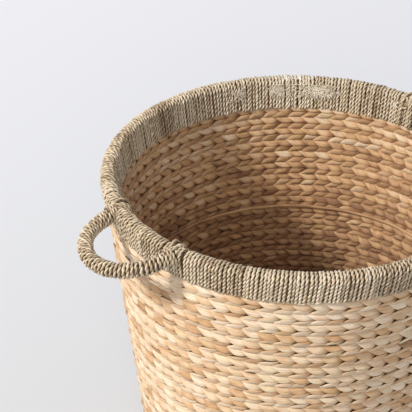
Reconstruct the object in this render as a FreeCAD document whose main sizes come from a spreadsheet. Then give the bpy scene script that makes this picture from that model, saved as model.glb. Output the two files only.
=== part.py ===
"""Round two-handled storage basket of twined flat strands over cane stakes.

The basket stands on its foot border with +Z up. The origin is the centre of the foot, on the
surface that the basket stands on. The two handles point along +X and -X.
"""
import FreeCAD, Part
import Sketcher
import math
import os

os.makedirs("parts", exist_ok=True)
doc = FreeCAD.newDocument("StorageBasket")

# ---------------------------------------------------------------- driving dimensions
DIMENSIONS = {
    # alias: (value in mm, degrees or a plain ratio, what it is)
    "basket_height": (370.0, "floor to the top of the rim"),
    "rim_radius": (200.0, "outermost radius of the wrapped rim"),
    "rim_thickness": (20.3, "wrapped rim, measured through the wall"),
    "rim_outer_depth": (30.9, "wrapped rim, measured down its outer face"),
    "rim_inner_depth": (33.6, "wrapped rim, measured down its inner face"),
    "rim_lean": (9.0, "outward lean of the rim section, degrees"),
    "rim_corner": (8.5, "rounding of the rim's two top edges"),
    "cord_diameter": (3.75, "twisted cord that wraps the rim and the handles"),
    "foot_radius": (151.6, "outer radius of the wall, carried down to the floor"),
    "wall_flare": (0.125, "growth of the wall radius per millimetre of height"),
    "foot_height": (18.0, "height of the foot border"),
    "course_height": (13.3, "one course: two twined rows that lean opposite ways"),
    "weaver_thickness": (5.1, "one flat strand, outside or inside the stakes"),
    "stake_gap": (3.4, "space between the outer and the inner strands"),
    "stake_diameter": (3.2, "cane stakes and base spokes"),
    "row_gap": (0.1, "daylight between neighbouring courses"),
    "hidden_strand": (3.4, "flattened strand of the course inside the rim"),
    "rim_hoop_diameter": (7.0, "cane hoop along the top of the stakes"),
    "base_clearance": (3.0, "floor to the underside of the base weave"),
    "base_centre_radius": (26.0, "woven button at the middle of the base"),
    "inner_hoop_height": (221.0, "height of the cord ring laid round the inside"),
    "inner_hoop_diameter": (3.6, "cord ring laid round the inside"),
    "handle_diameter": (16.0, "wrapped handle"),
    "handle_core_diameter": (8.4, "bent cane inside the handle"),
    "handle_bend": (46.0, "radius of the handle's round end, on its centreline"),
    "handle_splay": (6.0, "outward splay of each leg of the handle, degrees"),
    "handle_droop": (9.6, "fall of the handle below the horizontal, degrees"),
    "handle_reach": (201.6, "basket axis to the centre of the handle's round end, along the slope"),
    "handle_drop": (9.5, "rim top down to the handle where its plane meets the rim"),
    "handle_root_radius": (191.0, "basket axis to the line between the handle's two roots"),
    "handle_leg": (22.0, "straight leg from the round end into the rim"),
    "lashing_azimuth": (13.9, "handle root, measured round the basket from the handle's middle"),
    "lashing_sweep": (6.0, "arc of rim that one lashing covers, degrees"),
    "fit_gap": (0.15, "clearance between pieces that touch on curved faces"),
}
WALL_COURSES = 24
BASE_COURSES = 8
WALL_STAKES = 76
BASE_SPOKES = 38

sheet = doc.addObject("Spreadsheet::Sheet", "Sizes")
for row, (alias, (value, meaning)) in enumerate(DIMENSIONS.items(), start=1):
    sheet.set(f"A{row}", alias)
    sheet.set(f"B{row}", str(value))
    sheet.set(f"C{row}", meaning)
    sheet.setAlias(f"B{row}", alias)
doc.recompute()

nodes = []


def cell(alias):
    """The expression that reads one driving dimension."""
    return f"Sizes.{alias}"


def value_of(alias):
    """The number in one cell of the sheet."""
    return float(sheet.get(alias))


def bind(target, **expressions):
    """Binds properties of one object to expressions, with __ standing for a dot."""
    for name, expression in expressions.items():
        target.setExpression(name.replace("__", "."), expression)


def node(target, label):
    """Marks an object as one piece of the basket, under its own name."""
    target.Label = label
    nodes.append(target)
    return target


# ---------------------------------------------------------------- shared measures, as expressions
WALL_THICKNESS = f"(2 * {cell('weaver_thickness')} + {cell('stake_gap')})"
LEAN = f"({cell('rim_lean')} * 1 deg)"


def wall_radius(height):
    """Outer radius of the wall at a height above the floor."""
    return f"({cell('foot_radius')} + {cell('wall_flare')} * ({height}))"


def course_bottom(index):
    """Height of the lower edge of a wall course, counted from 0 at the foot."""
    return f"({cell('foot_height')} + {index} * {cell('course_height')})"


# ---------------------------------------------------------------- conical and flat rings
def cone(name, bottom, height, low_radius, high_radius):
    """A plain frustum about the basket's axis."""
    solid = doc.addObject("Part::Cone", name)
    bind(solid, Radius1=low_radius, Radius2=high_radius, Height=height)
    bind(solid, Placement__Base__z=bottom)
    return solid


def conical_ring(name, bottom, height, outset, thickness):
    """A ring that follows the wall: its outer face lies outset inside the wall's outer face."""
    top = f"({bottom} + {height})"
    low = f"({wall_radius(bottom)} - {outset})"
    high = f"({wall_radius(top)} - {outset})"
    outer = cone(f"{name}_outer", bottom, height, low, high)
    inner = cone(f"{name}_inner", bottom, height, f"{low} - {thickness}", f"{high} - {thickness}")
    ring = doc.addObject("Part::Cut", name)
    ring.Base = outer
    ring.Tool = inner
    return ring


def flat_ring(name, bottom, height, inner_radius, outer_radius):
    """A flat washer about the basket's axis."""
    outer = doc.addObject("Part::Cylinder", f"{name}_outer")
    inner = doc.addObject("Part::Cylinder", f"{name}_inner")
    bind(outer, Radius=outer_radius, Height=height, Placement__Base__z=bottom)
    bind(inner, Radius=inner_radius, Height=height, Placement__Base__z=bottom)
    ring = doc.addObject("Part::Cut", name)
    ring.Base = outer
    ring.Tool = inner
    return ring


def group(label, members):
    """Several separate solids that make one piece's node."""
    compound = doc.addObject("Part::Compound", f"{label}_group")
    compound.Links = members
    return node(compound, label)


def torus(name, ring_radius, bar_diameter, height):
    """A round hoop about the basket's axis."""
    hoop = doc.addObject("Part::Torus", name)
    bind(hoop, Radius1=ring_radius, Radius2=f"{bar_diameter} / 2", Placement__Base__z=height)
    return hoop


# ---------------------------------------------------------------- wall
def wall_course(index):
    """One course: a strand ring outside the stakes and one inside them."""
    label = f"wall_course_{index + 1:02d}"
    height = f"({cell('course_height')} - {cell('row_gap')})"
    strand = cell("weaver_thickness")
    inner_outset = f"({strand} + {cell('stake_gap')})"
    outside = conical_ring(f"{label}_outside", course_bottom(index), height, "0", strand)
    inside = conical_ring(f"{label}_inside", course_bottom(index), height, inner_outset, strand)
    group(label, [outside, inside])


def hidden_rim_course():
    """The last course, pressed flat inside the wrapped rim, below the rim hoop."""
    bottom = f"({course_bottom(WALL_COURSES)} + {cell('fit_gap')})"
    height = f"({hoop_height()} - {cell('rim_hoop_diameter')} / 2 - {cell('fit_gap')} - {bottom})"
    strand = cell("hidden_strand")
    outer_outset = f"({cell('weaver_thickness')} - {strand})"
    inner_outset = f"({cell('weaver_thickness')} + {cell('stake_gap')})"
    outside = conical_ring("hidden_outside", bottom, height, outer_outset, strand)
    inside = conical_ring("hidden_inside", bottom, height, inner_outset, strand)
    group("rim_hidden_course", [outside, inside])


def rod_ring(label, count, start, end, diameter):
    """Identical straight rods, evenly spaced round the basket, as separate solids."""
    direction = end.sub(start)
    rod = Part.makeCylinder(diameter / 2, direction.Length, start, direction)
    axis = FreeCAD.Vector(0, 0, 1)
    copies = []
    for number in range(count):
        copy = rod.copy()
        copy.rotate(FreeCAD.Vector(0, 0, 0), axis, 360.0 * number / count)
        copies.append(copy)
    ring = doc.addObject("Part::Feature", f"{label}_rods")
    ring.Shape = Part.makeCompound(copies)
    ring.Placement = FreeCAD.Placement()
    node(ring, label)


def wall_stakes():
    """The upright canes, from the foot border to just below the rim hoop."""
    radius = value_of("stake_diameter") / 2
    to_middle = value_of("weaver_thickness") + value_of("stake_gap") / 2
    low = value_of("foot_height") + radius * value_of("wall_flare") + value_of("fit_gap")
    courses_top = value_of("foot_height") + WALL_COURSES * value_of("course_height")
    high = courses_top + value_of("course_height")
    ends = []
    for height in (low, high):
        outer = value_of("foot_radius") + value_of("wall_flare") * height
        ends.append(FreeCAD.Vector(outer - to_middle, 0, height))
    rod_ring("wall_stakes", WALL_STAKES, ends[0], ends[1], value_of("stake_diameter"))


def inner_hoop():
    """The thin cord ring that lies against the inside of the wall at mid height."""
    half = f"{cell('inner_hoop_diameter')} / 2"
    inner_face = f"({wall_radius(cell('inner_hoop_height'))} - {WALL_THICKNESS})"
    radius = f"({inner_face} - {half} - 2 * {cell('fit_gap')})"
    hoop = torus("inner_hoop_cord", radius, cell("inner_hoop_diameter"), cell("inner_hoop_height"))
    node(hoop, "inner_hoop")


# ---------------------------------------------------------------- base
def base_radius(index):
    """Inner radius of a base course, counted from 0 at the middle."""
    border = f"({foot_outer()} - {WALL_THICKNESS} - {cell('fit_gap')})"
    pitch = f"(({border} - {cell('base_centre_radius')}) / {BASE_COURSES})"
    return f"({cell('base_centre_radius')} + {index} * {pitch})"


def foot_outer():
    """Outer radius of the foot border, the wall's own radius at the border's mid height."""
    return wall_radius(f"{cell('foot_height')} / 2")


def base_course(index):
    """One round of the base: a strand ring under the spokes and one over them."""
    label = f"base_course_{index + 1}"
    strand = cell("weaver_thickness")
    inner = f"({base_radius(index)} + {cell('row_gap')})"
    outer = base_radius(index + 1)
    upper_bottom = f"({cell('base_clearance')} + {strand} + {cell('stake_gap')})"
    under = flat_ring(f"{label}_under", cell("base_clearance"), strand, inner, outer)
    over = flat_ring(f"{label}_over", upper_bottom, strand, inner, outer)
    group(label, [under, over])


def base_centre():
    """The woven button that the base starts from."""
    button = doc.addObject("Part::Cylinder", "base_button")
    bind(button, Radius=cell("base_centre_radius"), Height=WALL_THICKNESS)
    bind(button, Placement__Base__z=cell("base_clearance"))
    node(button, "base_centre")


def base_spokes():
    """The canes of the base, between its two layers of strands."""
    outer = value_of("foot_radius") + value_of("wall_flare") * value_of("foot_height") / 2
    thickness = 2 * value_of("weaver_thickness") + value_of("stake_gap")
    middle = value_of("base_clearance") + thickness / 2
    near = value_of("base_centre_radius") + value_of("fit_gap")
    far = outer - thickness - 2 * value_of("fit_gap")
    start = FreeCAD.Vector(near, 0, middle)
    end = FreeCAD.Vector(far, 0, middle)
    rod_ring("base_spokes", BASE_SPOKES, start, end, value_of("stake_diameter"))


# ---------------------------------------------------------------- turned bodies
def origin_feature(body, role):
    """A body's own origin plane or axis."""
    for feature in body.Origin.OriginFeatures:
        if feature.Role == role:
            return feature
    raise ValueError(role)


def quadrilateral(body, name, width, outer_depth, inner_depth, outer_edge, top_edge):
    """A sketch in the XZ plane with upright sides, a level top and a free bottom edge."""
    sketch = body.newObject("Sketcher::SketchObject", name)
    sketch.AttachmentSupport = [(origin_feature(body, "XZ_Plane"), "")]
    sketch.MapMode = "FlatFace"
    corners = [(10, 10), (-10, 10), (-10, -12), (10, -10)]
    for number in range(4):
        here = FreeCAD.Vector(*corners[number], 0)
        there = FreeCAD.Vector(*corners[(number + 1) % 4], 0)
        sketch.addGeometry(Part.LineSegment(here, there), False)
    for number in range(4):
        following = (number + 1) % 4
        sketch.addConstraint(Sketcher.Constraint("Coincident", number, 2, following, 1))
    sketch.addConstraint(Sketcher.Constraint("Horizontal", 0))
    sketch.addConstraint(Sketcher.Constraint("Vertical", 1))
    sketch.addConstraint(Sketcher.Constraint("Vertical", 3))
    dimensions = (
        ("width", Sketcher.Constraint("DistanceX", 0, 2, 0, 1, 20.0), width),
        ("outer_depth", Sketcher.Constraint("DistanceY", 3, 1, 3, 2, 20.0), outer_depth),
        ("inner_depth", Sketcher.Constraint("DistanceY", 1, 2, 1, 1, 22.0), inner_depth),
        ("outer_edge", Sketcher.Constraint("DistanceX", -1, 1, 0, 1, 10.0), outer_edge),
        ("top_edge", Sketcher.Constraint("DistanceY", -1, 1, 0, 1, 10.0), top_edge),
    )
    for label, constraint, expression in dimensions:
        index = sketch.addConstraint(constraint)
        sketch.renameConstraint(index, label)
        sketch.setExpression(f"Constraints.{label}", expression)
    return sketch


def turn(body, kind, name, sketch, angle):
    """Revolves or grooves a sketch about the body's Z axis."""
    feature = body.newObject(kind, name)
    feature.Profile = sketch
    feature.ReferenceAxis = (origin_feature(body, "Z_Axis"), [""])
    feature.setExpression("Angle", angle)
    return feature


def round_edges(body, name, feature, edge_places, radius):
    """Rounds the circular edges that pass through the given (radius, height) places."""
    doc.recompute()
    chosen = []
    for number, edge in enumerate(feature.Shape.Edges, start=1):
        point = edge.valueAt((edge.FirstParameter + edge.LastParameter) / 2)
        if not isinstance(edge.Curve, Part.Circle):
            continue
        for ring_radius, height in edge_places:
            off = math.hypot(math.hypot(point.x, point.y) - ring_radius, point.z - height)
            if off < 0.01:
                chosen.append(f"Edge{number}")
    fillet = body.newObject("PartDesign::Fillet", name)
    fillet.Base = (feature, chosen)
    fillet.setExpression("Radius", radius)
    body.Tip = fillet
    if len(chosen) != len(edge_places):
        raise ValueError(f"{body.Name}: {len(chosen)} edges to round")
    return fillet


# ---------------------------------------------------------------- wrapped rim
def section_offset(across, along):
    """How far the rounded rim section reaches from its centre, in one direction."""
    half_width = f"({cell('rim_thickness')} / 2 - {cell('rim_corner')})"
    half_depth = f"({cell('rim_outer_depth')} / 2 - {cell('rim_corner')})"
    return f"({half_width} * {across} + {half_depth} * {along} + {cell('rim_corner')})"


RIM_CENTRE_RADIUS = f"({cell('rim_radius')} - {section_offset(f'cos({LEAN})', f'sin({LEAN})')})"
RIM_CENTRE_HEIGHT = f"({cell('basket_height')} - {section_offset(f'sin({LEAN})', f'cos({LEAN})')})"


def hoop_height():
    """Height of the rim hoop's centre, under the cord that crosses the top of the rim."""
    above = f"({cell('rim_outer_depth')} / 2 - {cell('cord_diameter')})"
    down = f"({cell('rim_hoop_diameter')} / 2 + {cell('fit_gap')})"
    return f"({RIM_CENTRE_HEIGHT} + ({above} - {down}) * cos({LEAN}))"


def lean_sketch(sketch):
    """Carries an upright sketch out to the rim and leans it."""
    sketch.AttachmentOffset = FreeCAD.Placement(
        FreeCAD.Vector(0, 0, 0), FreeCAD.Rotation(FreeCAD.Vector(0, 0, 1), -value_of("rim_lean")))
    sketch.setExpression("AttachmentOffset.Base.x", RIM_CENTRE_RADIUS)
    sketch.setExpression("AttachmentOffset.Base.y", RIM_CENTRE_HEIGHT)
    sketch.setExpression("AttachmentOffset.Rotation.Angle", f"-{cell('rim_lean')} * 1 deg")


def rim_place(across, along):
    """(radius, height) of a point of the leaned rim section, from its centre."""
    lean = math.radians(value_of("rim_lean"))
    corner = value_of("rim_corner")
    half_width = value_of("rim_thickness") / 2 - corner
    half_depth = value_of("rim_outer_depth") / 2 - corner
    reach_out = half_width * math.cos(lean) + half_depth * math.sin(lean) + corner
    reach_up = half_width * math.sin(lean) + half_depth * math.cos(lean) + corner
    radius = value_of("rim_radius") - reach_out + across * math.cos(lean) + along * math.sin(lean)
    height = value_of("basket_height") - reach_up - across * math.sin(lean) + along * math.cos(lean)
    return radius, height


def rim_envelope(name, start, sweep, gaps):
    """The filled, rounded rim section turned through an arc, grown by some fit gaps all round."""
    body = doc.addObject("PartDesign::Body", name)
    grow = f"{gaps} * {cell('fit_gap')}"
    half = f"({cell('rim_thickness')} / 2 + {grow})"
    top = f"({cell('rim_outer_depth')} / 2 + {grow})"
    sketch = quadrilateral(
        body, f"{name}_section", f"2 * {half}",
        f"({cell('rim_outer_depth')} + 2 * {grow})", f"({cell('rim_inner_depth')} + 2 * {grow})",
        half, top)
    lean_sketch(sketch)
    solid = turn(body, "PartDesign::Revolution", f"{name}_turned", sketch, sweep)
    half_width = value_of("rim_thickness") / 2 + gaps * value_of("fit_gap")
    half_depth = value_of("rim_outer_depth") / 2 + gaps * value_of("fit_gap")
    corners = [rim_place(half_width, half_depth), rim_place(-half_width, half_depth)]
    round_edges(body, f"{name}_rounded", solid, corners, cell("rim_corner"))
    body.Placement = FreeCAD.Placement(
        FreeCAD.Vector(0, 0, 0), FreeCAD.Rotation(FreeCAD.Vector(0, 0, 1), start))
    return body


def hollow_sketch(body, name):
    """The space under the cord: open at the bottom, where the wall comes in."""
    half = f"({cell('rim_thickness')} / 2 - {cell('cord_diameter')})"
    top = f"({cell('rim_outer_depth')} / 2 - {cell('cord_diameter')})"
    deep = f"(2 * {cell('rim_inner_depth')})"
    sketch = quadrilateral(body, name, f"2 * {half}", deep, deep, half, top)
    lean_sketch(sketch)
    return sketch


def rim_saddle(name, start, sweep):
    """A stretch of cord wrapping: an upside-down trough over the top of the wall."""
    body = rim_envelope(name, start, sweep, 0)
    before = body.Shape.Volume
    hollow = hollow_sketch(body, f"{name}_hollow")
    groove = turn(body, "PartDesign::Groove", f"{name}_opened", hollow, sweep)
    body.Tip = groove
    doc.recompute()
    if not 0.3 * before < groove.Shape.Volume < 0.8 * before:
        groove.Reversed = not groove.Reversed
        doc.recompute()
    return body


def rim_hoop():
    """The cane hoop that the tops of the stakes meet."""
    above = f"({hoop_height()} - {RIM_CENTRE_HEIGHT})"
    radius = f"({RIM_CENTRE_RADIUS} + {above} * tan({LEAN}))"
    node(torus("rim_hoop_cane", radius, cell("rim_hoop_diameter"), hoop_height()), "rim_hoop")


def rim_wraps():
    """The four wrapped stretches between the handle lashings."""
    half_lashing = value_of("lashing_sweep") / 2 + value_of("fit_gap")
    near = value_of("lashing_azimuth") - half_lashing
    far = value_of("lashing_azimuth") + half_lashing
    between = f"2 * ({cell('lashing_azimuth')} - {cell('lashing_sweep')} / 2 - {cell('fit_gap')})"
    beyond = f"180 - 2 * ({cell('lashing_azimuth')} + {cell('lashing_sweep')} / 2 + {cell('fit_gap')})"
    node(rim_saddle("rim_wrap_right_body", -near, between), "rim_wrap_right")
    node(rim_saddle("rim_wrap_back_body", far, beyond), "rim_wrap_back")
    node(rim_saddle("rim_wrap_left_body", 180 - near, between), "rim_wrap_left")
    node(rim_saddle("rim_wrap_front_body", 180 + far, beyond), "rim_wrap_front")


# ---------------------------------------------------------------- handles
def handle_bar(name, diameter, facing):
    """The handle's centreline as a round bar: a bend and two splayed legs, drooping outward."""
    splay = math.radians(value_of("handle_splay"))
    bend = value_of("handle_bend")
    arc = doc.addObject("Part::Torus", f"{name}_bend")
    bind(arc, Radius1=cell("handle_bend"), Radius2=f"{diameter} / 2")
    bind(arc, Angle3=f"(180 - 2 * {cell('handle_splay')}) * 1 deg")
    arc.Placement = FreeCAD.Placement(
        FreeCAD.Vector(0, 0, 0),
        FreeCAD.Rotation(FreeCAD.Vector(0, 0, 1), value_of("handle_splay") - 90))
    members = [arc]
    for side in (-1, 1):
        leg = doc.addObject("Part::Cylinder", f"{name}_leg")
        bind(leg, Radius=f"{diameter} / 2", Height=cell("handle_leg"))
        start = FreeCAD.Vector(bend * math.sin(splay), side * bend * math.cos(splay), 0)
        direction = FreeCAD.Vector(-math.cos(splay), side * math.sin(splay), 0)
        leg.Placement = FreeCAD.Placement(
            start, FreeCAD.Rotation(FreeCAD.Vector(0, 0, 1), direction))
        members.append(leg)
    bar = doc.addObject("Part::MultiFuse", name)
    bar.Shapes = members
    droop = math.radians(value_of("handle_droop"))
    past_root = value_of("handle_reach") - value_of("handle_root_radius")
    out = value_of("handle_root_radius") + past_root * math.cos(droop)
    height = value_of("basket_height") - value_of("handle_drop") - past_root * math.sin(droop)
    tilt = FreeCAD.Rotation(FreeCAD.Vector(0, 1, 0), value_of("handle_droop"))
    turned = FreeCAD.Rotation(FreeCAD.Vector(0, 0, 1), 0 if facing > 0 else 180)
    bar.Placement = FreeCAD.Placement(
        FreeCAD.Vector(facing * out, 0, height), turned.multiply(tilt))
    return bar


def cut(label, base, tool):
    """One shape less another."""
    result = doc.addObject("Part::Cut", label)
    result.Base = base
    result.Tool = tool
    return result


def rim_filling():
    """All that lies under the cord, as one tool that trims the handle cores."""
    body = doc.addObject("PartDesign::Body", "rim_filling")
    sketch = hollow_sketch(body, "rim_filling_section")
    body.Tip = turn(body, "PartDesign::Revolution", "rim_filling_turned", sketch, "360")
    return body


def handles():
    """Both handles: a bent cane, the cord round it and the lashing over each root."""
    whole_rim = rim_envelope("whole_rim", 0, "360", 1)
    filling = rim_filling()
    bore = f"({cell('handle_core_diameter')} + 2 * {cell('fit_gap')})"
    half_lashing = value_of("lashing_sweep") / 2
    for side, facing, middle in (("right", 1, 0), ("left", -1, 180)):
        cane = handle_bar(f"{side}_cane", cell("handle_core_diameter"), facing)
        node(cut(f"{side}_core_cut", cane, filling), f"handle_core_{side}")
        clear = handle_bar(f"{side}_bore", bore, facing)
        sleeve = handle_bar(f"{side}_sleeve", cell("handle_diameter"), facing)
        hollow = cut(f"{side}_sleeve_bored", sleeve, clear)
        node(cut(f"{side}_sleeve_cut", hollow, whole_rim), f"handle_wrap_{side}")
        for place, sign in (("front", -facing), ("back", facing)):
            start = middle + sign * value_of("lashing_azimuth") - half_lashing
            saddle = rim_saddle(f"{side}_{place}_saddle", start, cell("lashing_sweep"))
            lashing = cut(f"{side}_{place}_lashing", saddle, clear)
            node(lashing, f"handle_lashing_{side}_{place}")


# ---------------------------------------------------------------- foot
def foot_border():
    """The stout border that the base and the wall both end in, flat underneath."""
    body = doc.addObject("PartDesign::Body", "foot_border_body")
    height = cell("foot_height")
    sketch = quadrilateral(
        body, "foot_section", WALL_THICKNESS, height, height, foot_outer(), height)
    solid = turn(body, "PartDesign::Revolution", "foot_turned", sketch, "360")
    outer = value_of("foot_radius") + value_of("wall_flare") * value_of("foot_height") / 2
    corners = [(outer, 0.0), (outer, value_of("foot_height"))]
    round_edges(body, "foot_rounded", solid, corners, f"0.75 * {cell('weaver_thickness')}")
    node(body, "foot_border")


# ---------------------------------------------------------------- build and write
base_centre()
for course in range(BASE_COURSES):
    base_course(course)
base_spokes()
foot_border()
for course in range(WALL_COURSES):
    wall_course(course)
hidden_rim_course()
wall_stakes()
inner_hoop()
rim_hoop()
rim_wraps()
handles()
doc.recompute()

for item in doc.Objects:
    if "Invalid" in item.State or "Error" in item.State:
        raise RuntimeError(f"{item.Name} did not build: {item.State}")
for piece in nodes:
    shape = piece.Shape
    if shape.isNull() or not shape.isValid() or not shape.Solids:
        raise RuntimeError(f"{piece.Label} has no valid solid")
    shape.exportStep(f"parts/{piece.Label}.step")
    box = shape.optimalBoundingBox()
    print(f"{piece.Label}: {len(shape.Solids)} solids, {shape.Volume:.0f} mm3, "
          f"z {box.ZMin:.1f} to {box.ZMax:.1f}, x {box.XMin:.1f} to {box.XMax:.1f}")
print(len(nodes), "pieces")
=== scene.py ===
"""The looks of the storage basket: twined flat strands, cord-wrapped rim and handles."""
import bpy
import math
import numpy as np
from mathutils import Matrix, Vector


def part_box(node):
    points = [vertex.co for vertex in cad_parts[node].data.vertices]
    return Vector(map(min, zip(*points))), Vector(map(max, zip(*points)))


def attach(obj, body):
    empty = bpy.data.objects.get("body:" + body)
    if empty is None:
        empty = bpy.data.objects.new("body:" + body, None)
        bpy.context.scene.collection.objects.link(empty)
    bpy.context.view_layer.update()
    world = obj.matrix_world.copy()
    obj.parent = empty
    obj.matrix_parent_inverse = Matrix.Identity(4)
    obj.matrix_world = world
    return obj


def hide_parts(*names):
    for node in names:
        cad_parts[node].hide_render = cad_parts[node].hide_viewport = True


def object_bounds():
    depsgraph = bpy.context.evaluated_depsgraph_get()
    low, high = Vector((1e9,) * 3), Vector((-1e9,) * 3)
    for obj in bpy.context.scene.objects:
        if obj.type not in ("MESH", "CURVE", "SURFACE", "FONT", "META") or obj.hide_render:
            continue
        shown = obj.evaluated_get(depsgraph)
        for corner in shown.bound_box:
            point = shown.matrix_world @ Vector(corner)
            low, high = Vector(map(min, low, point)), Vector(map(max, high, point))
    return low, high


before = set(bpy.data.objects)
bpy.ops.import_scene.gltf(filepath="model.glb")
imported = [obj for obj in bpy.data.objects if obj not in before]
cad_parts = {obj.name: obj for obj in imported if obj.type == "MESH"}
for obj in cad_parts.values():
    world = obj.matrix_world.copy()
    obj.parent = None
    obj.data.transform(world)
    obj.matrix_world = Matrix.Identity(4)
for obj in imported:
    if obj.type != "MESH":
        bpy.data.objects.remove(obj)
CAD_LOW, CAD_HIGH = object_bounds()
MM = 0.001
TAU = 2 * math.pi
SEEDS = 40  # strands take their place in the noise from this range
rng = np.random.default_rng(20)


# ------------------------------------------------------------------ camera
def make_camera():
    """The photograph's view: from the front left, looking down into the open mouth."""
    distance = 1.750
    azimuth = math.radians(-39.8)
    elevation = math.radians(30.30)
    pan = math.radians(3.063)
    tilt = math.radians(-1.436)
    roll = math.radians(-1.905)
    aim = Vector((0, 0, CAD_HIGH.z))
    outward = Vector((math.sin(azimuth) * math.cos(elevation),
                      -math.cos(azimuth) * math.cos(elevation), math.sin(elevation)))
    right = Vector((math.cos(azimuth), math.sin(azimuth), 0))
    ahead = -outward
    up = right.cross(ahead)
    ahead = Matrix.Rotation(pan, 3, up) @ ahead
    right = Matrix.Rotation(pan, 3, up) @ right
    ahead = Matrix.Rotation(tilt, 3, right) @ ahead
    up = Matrix.Rotation(tilt, 3, right) @ up
    up = Matrix.Rotation(roll, 3, ahead) @ up
    right = Matrix.Rotation(roll, 3, ahead) @ right
    data = bpy.data.cameras.new("camera")
    data.sensor_width = 36.0
    data.lens = 154.3
    camera = bpy.data.objects.new("camera", data)
    turn = Matrix((right, up, -ahead)).transposed().to_4x4()
    camera.matrix_world = Matrix.Translation(aim + outward * distance) @ turn
    bpy.context.scene.collection.objects.link(camera)
    bpy.context.scene.camera = camera


# ------------------------------------------------------------------ shapes the frame gives
def node_box(name):
    """Lowest and highest corner of a CAD node."""
    low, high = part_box(name)
    return np.array(low), np.array(high)


WALL_COURSES = 24
FIRST_LOW, FIRST_HIGH = node_box("wall_course_01")
LAST_HIGH = node_box(f"wall_course_{WALL_COURSES:02d}")[1]
WALL_BOTTOM = FIRST_LOW[2]
WALL_TOP = LAST_HIGH[2]
COURSE = (WALL_TOP - WALL_BOTTOM) / WALL_COURSES
FLARE = (LAST_HIGH[0] - FIRST_HIGH[0]) / (LAST_HIGH[2] - FIRST_HIGH[2])
WALL_THICKNESS = 13.6 * MM
WALL_DEPTHS = (6.8 * MM, 5.5 * MM)  # outside and inside of the stakes' middle surface
RIM_WALL_DEPTHS = (5.2 * MM, 3.0 * MM)  # the same where the rim presses the weave flat
WALL_STITCHES = 76


def wall_radius(height):
    """Outer radius of the wall at a height."""
    return LAST_HIGH[0] + FLARE * (height - LAST_HIGH[2])


# ------------------------------------------------------------------ mesh making
def unit(vectors):
    """Vectors of length one in the same directions."""
    return vectors / np.linalg.norm(vectors, axis=-1, keepdims=True)


def circle(count):
    """Evenly spaced angles of one full turn."""
    return TAU * np.arange(count) / count


def distance_along(line):
    """Distance from the first point of a line to each of its points."""
    step = np.linalg.norm(np.diff(line, axis=0), axis=1)
    return np.concatenate(([0.0], np.cumsum(step)))


def closed_tangent(line):
    """Direction of a closed line at each of its points."""
    return unit(np.roll(line, -1, axis=0) - np.roll(line, 1, axis=0))


class Tubes:
    """Collects tubes, with their strand coordinates and tones, and turns them into one mesh."""

    def __init__(self):
        self.points = []
        self.faces = []
        self.fibre = []
        self.tone = []
        self.count = 0

    def add(self, centres, across, outward, profile, tone, seed, closed):
        """One tube: profile[i, j] is (across, outward) of ring i's point j from its centre."""
        rings, around = profile.shape[:2]
        points = (centres[:, None, :] + across[:, None, :] * profile[:, :, :1]
                  + outward[:, None, :] * profile[:, :, 1:])
        along = distance_along(centres)
        girth = np.linalg.norm(np.roll(profile, -1, axis=1) - profile, axis=2)
        round_it = np.concatenate((np.zeros((rings, 1)), np.cumsum(girth, axis=1)[:, :-1]), axis=1)
        fibre = np.empty((rings, around, 3))
        fibre[:, :, 0] = along[:, None]
        fibre[:, :, 1] = round_it
        fibre[:, :, 2] = seed
        index = np.arange(rings * around).reshape(rings, around) + self.count
        if closed:
            near, far = index, np.roll(index, -1, axis=0)
        else:
            near, far = index[:-1], index[1:]
        quads = np.stack((near, np.roll(near, -1, axis=1), np.roll(far, -1, axis=1), far), axis=-1)
        self.faces.append(quads.reshape(-1, 4))
        self.points.append(points.reshape(-1, 3))
        self.fibre.append(fibre.reshape(-1, 3))
        tone = np.broadcast_to(np.reshape(tone, (rings, -1)), (rings, around))
        self.tone.append(tone.ravel())
        self.count += rings * around
        if not closed:
            self.cap(index[0][::-1], points[0], fibre[0], tone[0].mean())
            self.cap(index[-1], points[-1], fibre[-1], tone[-1].mean())

    def cap(self, ring, points, fibre, tone):
        """Closes an open end with quads fanned from its middle."""
        self.points.append(points.mean(axis=0)[None, :])
        self.fibre.append(fibre.mean(axis=0)[None, :])
        self.tone.append(np.array([tone]))
        middle = self.count
        self.count += 1
        pairs = len(ring) // 2
        quads = [(middle, ring[2 * k], ring[2 * k + 1], ring[(2 * k + 2) % len(ring)])
                 for k in range(pairs)]
        self.faces.append(np.array(quads))

    def build(self, name, material):
        """The finished object, smooth shaded."""
        points = np.concatenate(self.points)
        faces = np.concatenate(self.faces)
        mesh = bpy.data.meshes.new(name)
        mesh.vertices.add(len(points))
        mesh.vertices.foreach_set("co", points.astype(np.float32).ravel())
        mesh.loops.add(faces.size)
        mesh.loops.foreach_set("vertex_index", faces.astype(np.int32).ravel())
        mesh.polygons.add(len(faces))
        mesh.polygons.foreach_set("loop_start", np.arange(0, faces.size, 4, dtype=np.int32))
        mesh.update(calc_edges=True)
        mesh.polygons.foreach_set("use_smooth", np.ones(len(faces), dtype=bool))
        fibre = mesh.attributes.new("fibre", "FLOAT_VECTOR", "POINT")
        fibre.data.foreach_set("vector", np.concatenate(self.fibre).astype(np.float32).ravel())
        tone = mesh.attributes.new("tone", "FLOAT", "POINT")
        tone.data.foreach_set("value", np.concatenate(self.tone).astype(np.float32))
        mesh.materials.append(material)
        piece = bpy.data.objects.new(name, mesh)
        bpy.context.scene.collection.objects.link(piece)
        return piece


def place(piece, slot, *nodes):
    """Every piece rides on the basket and stands for its nodes; slot is not used."""
    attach(piece, "root")
    if nodes:
        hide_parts(*nodes)


# ------------------------------------------------------------------ twined rows
AROUND = 10
PASS_RINGS = 15
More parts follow.
